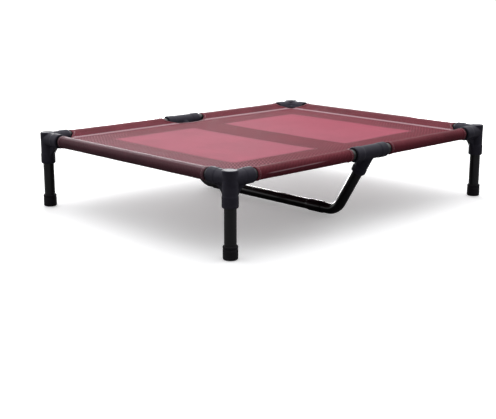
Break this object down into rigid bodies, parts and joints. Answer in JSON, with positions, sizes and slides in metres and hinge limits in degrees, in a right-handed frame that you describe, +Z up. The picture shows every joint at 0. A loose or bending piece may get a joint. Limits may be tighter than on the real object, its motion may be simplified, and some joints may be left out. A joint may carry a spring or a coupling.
{
  "type": "raised dog bed",
  "caption": "Raised dog bed: a tube frame with moulded corner sockets, short legs and a U-shaped crossbar, carrying a stretched rectangular mesh sheet.",
  "frame": {"origin": "centre of the footprint, on the plane that the feet stand on", "axes": "+X along the long side, +Y towards the rear long side, +Z up"},
  "size_m": [0.7618, 0.5918, 0.1579],
  "materials": {
    "connector_plastic": "satin moulded, fine texture",
    "tube_steel": "black powder coat",
    "foot_rubber": "matt moulded rubber",
    "mesh_top": "coated open weave",
    "mesh_sleeve": "coated open weave",
    "mesh_under": "coated open weave",
    "binding_tape": "narrow woven tape"
  },
  "bodies": {
    "root": {"corner_connector_front_left": "connector_plastic", "corner_connector_front_right": "connector_plastic", "corner_connector_rear_left": "connector_plastic", "corner_connector_rear_right": "connector_plastic", "leg_tube_front_left": "tube_steel", "leg_tube_front_right": "tube_steel", "leg_tube_rear_left": "tube_steel", "leg_tube_rear_right": "tube_steel", "foot_cap_front_left": "foot_rubber", "foot_cap_front_right": "foot_rubber", "foot_cap_rear_left": "foot_rubber", "foot_cap_rear_right": "foot_rubber", "end_rail_left": "tube_steel", "end_rail_right": "tube_steel", "side_rail_front_left": "tube_steel", "side_rail_front_right": "tube_steel", "side_rail_rear_left": "tube_steel", "side_rail_rear_right": "tube_steel", "centre_connector_front": "connector_plastic", "centre_connector_rear": "connector_plastic", "crossbar_end_front": "tube_steel", "crossbar_end_rear": "tube_steel", "crossbar_centre_tube": "tube_steel", "mesh_panel": "mesh_top", "sleeve_end_left": "mesh_sleeve", "sleeve_end_right": "mesh_sleeve", "sleeve_front_left": "mesh_sleeve", "sleeve_front_right": "mesh_sleeve", "sleeve_rear_left": "mesh_sleeve", "sleeve_rear_right": "mesh_sleeve", "under_strip_front": "mesh_under", "under_strip_rear": "mesh_under", "under_strip_left": "mesh_under", "under_strip_right": "mesh_under", "under_band_centre": "mesh_under", "corner_binding_front_left": "binding_tape", "corner_binding_front_right": "binding_tape", "corner_binding_rear_left": "binding_tape", "corner_binding_rear_right": "binding_tape", "centre_binding_front": "binding_tape", "centre_binding_rear": "binding_tape"}
  },
  "joints": []
}
